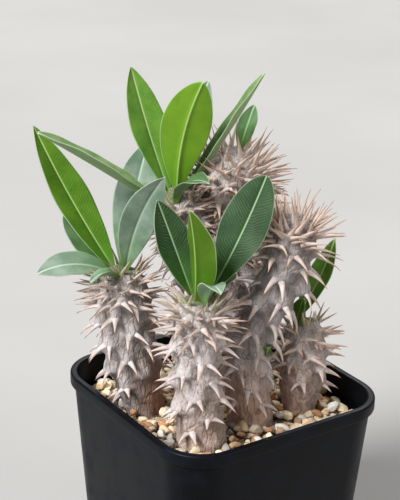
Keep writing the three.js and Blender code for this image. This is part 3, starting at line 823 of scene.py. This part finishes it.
def spine_curves(stem):
    """Root, start and end direction, length, base radius, way across, and shares of crown and tuft."""
    curves = []
    for along, angle, side, k in spine_seats(stem):
        def vary(channel, spread):
            return blend(-spread, spread, scatter(k, channel + side))
        centre, up, across, outward = stem.frame_at(np.array(along), np.array(angle))
        tilt = math.asin(stem.dome_fraction(along))
        normal = outward * math.cos(tilt) + up * math.sin(tilt)
        crown = 1.0 if side == 0 else stem.crown_share(along)
        tuft = smoothstep(along, stem.length - stem.dome * 0.7, stem.length - 1)
        foot = 1 - smoothstep(along, *FOOT_ZONE)
        base_length = blend(blend(stem.trunk_spine, FOOT_SPINE, foot), stem.crown_spine, crown)
        splay = math.radians(side * SPINE_SPLAY + vary(5, 12 if side else 30))
        crown_rise = blend(*stem.crown_rise, tuft)
        rise_start = math.radians(blend(-3, crown_rise + 6, crown) + vary(1, 11))
        rise_end = math.radians(blend(-stem.droop, crown_rise - 6, crown) + vary(13, 15))
        outward_lean = normal + across * math.tan(splay)
        start = unit(outward_lean + up * math.tan(rise_start))
        end = unit(outward_lean + up * math.tan(rise_end))
        length = base_length * (1 + vary(9, 0.2)) * (1 if side else 0.9)
        lift = stem.site_height[k] * 0.7 if side else 0.3
        spread = side * blend(1.1, 0.6, crown)
        root = centre + outward * stem.radius(along) + normal * lift + across * spread - start * SPINE_SINK
        trunk_radius, side_radius, apex_radius = SPINE_RADII
        radius = blend(trunk_radius, blend(side_radius, apex_radius, tuft), crown)
        radius *= blend(0.8, 1.2, scatter(k, 31 + side))
        curves.append((root, start, end, length + SPINE_SINK, radius, across, crown, tuft))
    return curves


def spine_line(root, start, end, length, shares):
    """Points of a spine's centre line, which leaves along start and ends along end."""
    t = np.asarray(shares)[:, None]
    elbow = root + start * length * 0.5
    tip = elbow + end * length * 0.5
    return root * (1 - t) ** 2 + elbow * 2 * t * (1 - t) + tip * t * t


def is_clear(line, trees):
    """Whether no other piece is on the way from root to tip."""
    for a, b in zip(line[:-1], line[1:]):
        step = Vector(b - a)
        for tree in trees:
            if tree.ray_cast(Vector(a), step.normalized(), step.length)[0] is not None:
                return False
    return True


def build_spines(stem, trees):
    """All spines of a stem as one piece. One that would meet another piece is shortened or left out."""
    points, faces, tips, warmth, young = [], [], [], [], []
    leafy = stem.name not in BARE_CROWNS
    shares = np.linspace(0, 1, SPINE_RINGS) ** 1.1
    angles = np.linspace(0, 2 * math.pi, SPINE_SIDES, endpoint=False)
    for root, start, end, length, radius, across, crown, tuft in spine_curves(stem):
        for share in SPINE_TRIMS:
            line = spine_line(root, start, end, length * share, shares)
            if is_clear(line, trees):
                break
        else:
            continue
        ahead = unit(np.gradient(line, axis=0))
        wide = unit(across - ahead * dot(ahead, across)[:, None])
        thick = np.cross(ahead, wide)
        girth = radius * (0.82 * (1 - shares) + 0.18 * (1 - shares) ** 5) + 0.05
        rings = []
        for k in range(SPINE_RINGS):
            oval = wide[k] * np.cos(angles)[:, None] * 1.1 + thick[k] * np.sin(angles)[:, None] * 0.8
            rings.append(line[k] + oval * girth[k])
        first = sum(len(block) for block in points)
        block, block_faces = loft(rings)
        points.append(block)
        faces += [tuple(i + first for i in face) for face in block_faces]
        tips.append(np.concatenate([np.repeat(shares, SPINE_SIDES), [0, 1]]))
        warmth.append(np.full(len(block), crown * WARM_SPINES[stem.name]))
        young.append(np.full(len(block), tuft * leafy))
    make_piece(
        "spines_" + stem.name, np.vstack(points), faces, MATERIALS["spine"], "bark", [stem.node],
        tip=np.concatenate(tips), warmth=np.concatenate(warmth), young=np.concatenate(young),
    )


# Leaves

def leaf_half_width(leaf, s):
    power = math.log(0.5) / math.log(leaf.get("widest", 0.55))
    swell = np.clip(np.sin(math.pi * np.clip(s, 0, 1) ** power), 0, 1)
    roundness = blend(0.75, leaf.get("blunt", 0.75), smoothstep(s, 0.3, 0.7))
    blade = leaf["width"] / 2 * swell ** roundness
    petiole = np.where(s < PETIOLE_END, (0.45 + 0.03 * leaf["width"]) * (1 - s), 0)
    return np.maximum(np.cbrt(blade ** 3 + petiole ** 3), NARROWEST_HALF)


def build_leaf(name, leaf, base, nodes, index):
    """A folded blade with a keeled midrib, thin margins and a pointed tip."""
    length = leaf["length"]
    steps = max(20, round(length / LEAF_STEP))
    columns = 2 * max(5, round(leaf["width"] / LEAF_STEP / 2)) + 1
    s = np.linspace(0, 1, steps + 1)
    heading = math.radians(leaf["heading"])
    ahead = np.array([math.cos(heading), math.sin(heading), 0])
    level = np.array([-math.sin(heading), math.cos(heading), 0])
    top = np.array([0, 0, 1])
    roll, fold = math.radians(leaf["roll"]), math.radians(leaf["fold"])
    rise = np.radians(leaf["rise"] - leaf["droop"] * s)[:, None]
    along = ahead * np.cos(rise) + top * np.sin(rise)
    crest = -ahead * np.sin(rise) + top * np.cos(rise)
    side = level * math.cos(roll) + crest * math.sin(roll)
    face = crest * math.cos(roll) - level * math.sin(roll)
    midrib = base + np.vstack([np.zeros(3), np.cumsum(along[1:], axis=0)]) * length / steps
    half = leaf_half_width(leaf, s)[:, None]
    x = np.linspace(-1, 1, columns)[None, :]
    across = x * half
    off = np.abs(across)
    wave = np.sin(s * 9 + index * 1.7)[:, None] * 0.35 + np.sin(s * 21 + index)[:, None] * 0.16
    ripples = wave * np.sign(x) * x ** 2 * smoothstep(s, 0.12, 0.4)[:, None]
    channel = 0.28 * np.exp(-(off / 0.55) ** 2)
    bow = np.sqrt(off ** 2 + 0.25) - 0.5
    height = bow * math.sin(fold) + ripples - channel
    keel_depth = (1.15 * (1 - s) ** 1.2 + 0.12)[:, None]
    keel = keel_depth * np.exp(-(off / blend(0.95, 0.4, s)[:, None]) ** 2)
    thickness = 0.5 - 0.22 * np.abs(x) ** 3 + keel
    upper = midrib[:, None] + side[:, None] * (across * math.cos(fold))[..., None]
    upper = upper + face[:, None] * height[..., None]
    lower = upper - face[:, None] * thickness[..., None]
    count = (steps + 1) * columns
    points = np.vstack([upper.reshape(-1, 3), lower.reshape(-1, 3)])
    faces = leaf_faces(steps, columns, count)
    layers = {
        "ahead": np.tile(np.broadcast_to(s[:, None] * length, (steps + 1, columns)).ravel(), 2),
        "across": np.tile(across.ravel(), 2),
        "half": np.tile(np.broadcast_to(half, (steps + 1, columns)).ravel(), 2),
        "under": np.repeat([0.0, 1.0], count),
    }
    make_piece(name, points, faces, MATERIALS[leaf["look"]], "leaf", nodes, **layers)
    return points, faces


def leaf_faces(steps, columns, under):
    faces = []
    for step in range(steps):
        for column in range(columns - 1):
            a = step * columns + column
            b = a + columns
            faces.append((a, b, b + 1, a + 1))
            faces.append((under + a, under + a + 1, under + b + 1, under + b))
        left = step * columns
        right = left + columns - 1
        faces.append((left + columns, left, under + left, under + left + columns))
        faces.append((right, right + columns, under + right + columns, under + right))
    last = steps * columns
    for column in range(columns - 1):
        faces.append((column, column + 1, under + column + 1, under + column))
        c = last + column
        faces.append((c + 1, c, under + c, under + c + 1))
    return faces


def leaf_base(stem, leaf):
    centre, up, _, outward = stem.frame_at(np.array(stem.length), np.array(float(leaf["seat"])))
    ring = OUTER_RING if leaf.get("outer") else INNER_RING
    return centre + outward * ring - up * PETIOLE_SINK


# Top dressing

def inside_pot(x, y, margin):
    """Whether a point lies in the pot's rounded square at gravel height, clear of its wall."""
    half = inner_half(GRAVEL_LEVEL) - margin
    corner = max(inner_corner(GRAVEL_LEVEL) - margin, 0.1)
    dx = max(abs(x) - (half - corner), 0)
    dy = max(abs(y) - (half - corner), 0)
    return math.hypot(dx, dy) < corner


def build_grit():
    """The bed of fine grit under the stones: a closed slab with an uneven top."""
    half, corner = inner_half(GRIT_BOTTOM), inner_corner(GRIT_BOTTOM)
    ring = np.array(square_ring(half - GRIT_MARGIN, corner - GRIT_MARGIN, 0, 6))
    shares = np.linspace(1, 0.02, int(half / GRIT_STEP))
    even = resample(ring, GRIT_SIDES)
    rings = [even * (1, 1, 0) + (0, 0, GRIT_BOTTOM)]
    for share in shares:
        level = even * share
        rough = 0.6 * ripple(level, 3.1, 5) + 0.4 * ripple(level, 1.2, 6)
        rings.append(level + np.outer(GRIT_LEVEL + rough, (0, 0, 1)))
    points, faces = loft(rings)
    make_piece("grit_bed", points, faces, MATERIALS["grit"], "gravel", ["gravel"], sharp=60)


def resample(ring, count):
    """The same closed outline with evenly spaced points."""
    closed = np.vstack([ring, ring[:1]])
    run = np.concatenate([[0], np.cumsum(np.linalg.norm(np.diff(closed, axis=0), axis=1))])
    wanted = np.linspace(0, run[-1], count, endpoint=False)
    return np.stack([np.interp(wanted, run, closed[:, axis]) for axis in range(3)], axis=1)


# Each layer's name, fineness, spacing, height, share of places filled and seed
STONE_LAYERS = (
    ("stones_under", 2, 4.6, 68.9, 1.0, 11),
    ("stones_middle", 3, 4.4, 70.4, 0.9, 12),
    ("stones_top", 3, 5.2, 71.6, 0.55, 13),
)
STONE_SIZES = (1.9, 3.3)
STONE_CHIPS = 13
# Web colours and how often each is drawn
STONE_TINTS = [
    ("#dccdb0", 5), ("#ceb691", 5), ("#bdb09b", 3), ("#d3d1ca", 3), ("#b58762", 2),
    ("#a98a6d", 3), ("#96918a", 2), ("#e0d1b5", 3),
]


def sphere_mesh(level):
    """Points and triangles of a unit sphere."""
    ball = bmesh.new()
    bmesh.ops.create_icosphere(ball, subdivisions=level, radius=1)
    points = np.array([vertex.co[:] for vertex in ball.verts])
    faces = np.array([[vertex.index for vertex in face.verts] for face in ball.faces])
    ball.free()
    return points, faces


def turn_matrix(rng, tilt):
    """A random turn about the vertical and a lean of up to tilt degrees."""
    spin = Matrix.Rotation(rng.uniform(0, 2 * math.pi), 3, "Z")
    lean = Matrix.Rotation(math.radians(rng.uniform(-tilt, tilt)), 3, "X")
    side = Matrix.Rotation(math.radians(rng.uniform(-tilt, tilt)), 3, "Y")
    return np.array(spin @ lean @ side)


def build_stones(stems, name, level, spacing, height, share, seed):
    """One layer of separate worn stones, each chipped to its own shape and tint."""
    rng = np.random.default_rng(seed)
    ball, triangles = sphere_mesh(level)
    weights = np.array([weight for _, weight in STONE_TINTS], float)
    tints = np.array([paint(code) for code, _ in STONE_TINTS])
    reach = inner_half(GRAVEL_LEVEL)
    ticks = np.arange(-reach, reach, spacing)
    points, faces, colours = [], [], []
    for row, y in enumerate(ticks):
        for x in ticks + (row % 2) * spacing / 2:
            size = rng.uniform(*STONE_SIZES)
            axes = np.array([size, size * rng.uniform(0.5, 0.8), size * rng.uniform(0.42, 0.68)])
            px = x + rng.uniform(-0.3, 0.3) * spacing
            py = y + rng.uniform(-0.3, 0.3) * spacing
            pz = height + rng.uniform(-0.9, 0.9)
            kept = rng.uniform() < share
            turn = turn_matrix(rng, 32)
            planes = unit(rng.normal(size=(STONE_CHIPS, 3)))
            depths = rng.uniform(0.58, 0.86, STONE_CHIPS)
            tint = tints[rng.choice(len(tints), p=weights / weights.sum())]
            shade = rng.uniform(0.9, 1.25)
            stands = any(
                math.hypot(px - stem.controls[0][0], py - stem.controls[0][1])
                < stem.radii[0] + axes[1] * 0.55
                for stem in stems
            )
            if not kept or stands or not inside_pot(px, py, size * 0.8):
                continue
            chipped = ball.copy()
            for normal, depth in zip(planes, depths):
                over = np.maximum(chipped @ normal - depth, 0)
                chipped -= np.outer(over, normal)
            chipped += chipped * 0.03 * ripple(chipped * 3 + row, 1.3, 7)[:, None]
            block = (chipped * axes) @ turn.T + (px, py, pz)
            first = sum(len(other) for other in points)
            points.append(block)
            faces.append(triangles + first)
            colours.append(np.tile(np.append(tint[:3] * shade, 1), (len(ball), 1)))
    make_piece(
        name, np.vstack(points), np.vstack(faces).tolist(), MATERIALS["stone"], "gravel", ["gravel"],
        sharp=32, tint=np.vstack(colours),
    )


# A young offset shoot on the middle stem's side

BUD_ALONG = 26
BUD_ANGLE = -52
BUD_RADIUS = 3
BUD_LEAFLETS = [
    dict(heading=-30, rise=78, droop=6, length=12, width=4.6, roll=0, fold=15, look="fresh"),
    dict(heading=-115, rise=58, droop=20, length=8, width=3.6, roll=0, fold=15, look="light"),
]


def build_offset(stem):
    centre, _, _, outward = stem.frame_at(np.array(float(BUD_ALONG)), np.array(float(BUD_ANGLE)))
    middle = centre + outward * (stem.radius(BUD_ALONG) + 0.3)
    ball, triangles = sphere_mesh(4)
    body = middle + ball * BUD_RADIUS * (1 + 0.08 * ripple(ball * 3, 1.2, 8))[:, None]
    zeros = np.zeros(len(body))
    make_piece(
        "offset_bud", body, triangles.tolist(), MATERIALS["bark"], "leaf", ["stem_middle"],
        ridge=zeros, low=zeros, aged=zeros, pale=zeros, crown=smoothstep(ball[:, 2], -0.6, 0.7),
    )
    for number, leaflet in enumerate(BUD_LEAFLETS):
        build_leaf(f"offset_leaflet_{number + 1}", leaflet, middle, ["stem_middle"], number)


# Camera, floor and lights

CAMERA_PLACE = (-269.93, -371.98, 312.97)
CAMERA_RIGHT = (0.82626, -0.56269, 0.02603)
CAMERA_UP = (0.18683, 0.31736, 0.92972)
SENSOR = 36
LENS = 100.45
FLOOR_REACH = 15.0
SKY_STRENGTH = 0.31
# Each light's name, the place it comes from, spread, strength and tint
LIGHTS = (
    ("key", (-1500, -125, 1580), 24, 5.0, (1, 1, 1)),
    ("fill", (880, -1460, 790), 38, 0.8, (1, 0.87, 0.77)),
    ("rim", (880, 1170, 1590), 24, 1.75, (1, 1, 1)),
)


def build_camera():
    data = bpy.data.cameras.new("camera")
    data.sensor_width = SENSOR
    data.lens = LENS
    data.clip_start = 0.02
    data.clip_end = 60
    camera = bpy.data.objects.new("camera", data)
    right, up = Vector(CAMERA_RIGHT), Vector(CAMERA_UP)
    axes = Matrix((right, up, right.cross(up))).transposed()
    camera.matrix_world = Matrix.Translation(Vector(CAMERA_PLACE) * MM) @ axes.to_4x4()
    bpy.context.scene.collection.objects.link(camera)
    bpy.context.scene.camera = camera


def build_light(name, place, spread, strength, tint):
    """An even soft light from the side of a place in millimetres, as wide as its spread in degrees."""
    data = bpy.data.lights.new(name, "SUN")
    data.angle = np.radians(spread)
    data.energy = strength
    data.color = tint
    lamp = bpy.data.objects.new(name, data)
    lamp.location = Vector(place) * MM
    aim = Vector((0, 0, 100)) * MM - lamp.location
    lamp.rotation_mode = "QUATERNION"
    lamp.rotation_quaternion = aim.to_track_quat("-Z", "Y")
    bpy.context.scene.collection.objects.link(lamp)


def build_stage():
    reach = FLOOR_REACH
    mesh = bpy.data.meshes.new("floor")
    corners = [(-reach, -reach, 0), (reach, -reach, 0), (reach, reach, 0), (-reach, reach, 0)]
    mesh.from_pydata(corners, [], [(0, 1, 2, 3)])
    mesh.materials.append(MATERIALS["floor"])
    floor = bpy.data.objects.new("floor", mesh)
    bpy.context.scene.collection.objects.link(floor)
    world = bpy.data.worlds.new("studio")
    world.use_nodes = True
    world.node_tree.nodes["Background"].inputs["Color"].default_value = paint("#e4e6ea")
    world.node_tree.nodes["Background"].inputs["Strength"].default_value = SKY_STRENGTH
    bpy.context.scene.world = world
    for light in LIGHTS:
        build_light(*light)
    bpy.context.scene.view_settings.view_transform = "Standard"


build_camera()
build_stage()
build_pot()

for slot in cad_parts["soil"].material_slots:
    slot.material = MATERIALS["soil"]

stems = {name: Stem(name, **shape) for name, shape in STEMS.items()}
bodies = {}
for name, stem in stems.items():
    points, faces = build_bark(stem)
    bodies[name] = BVHTree.FromPolygons(points.tolist(), faces)

blades = []
for name, leaves in LEAVES.items():
    for index, leaf in enumerate(leaves):
        label = f"{name}_{index + 1}"
        points, faces = build_leaf(
            "blade_" + label, leaf, leaf_base(stems[name], leaf), ["leaf_" + label], index,
        )
        blades.append(BVHTree.FromPolygons(points.tolist(), faces))

build_grit()
ground_stems = [stem for stem in stems.values() if stem.from_ground]
for layer in STONE_LAYERS:
    build_stones(ground_stems, *layer)

for name, stem in stems.items():
    others = [tree for other, tree in bodies.items() if other != name]
    build_spines(stem, others + blades)
build_offset(stems["middle"])
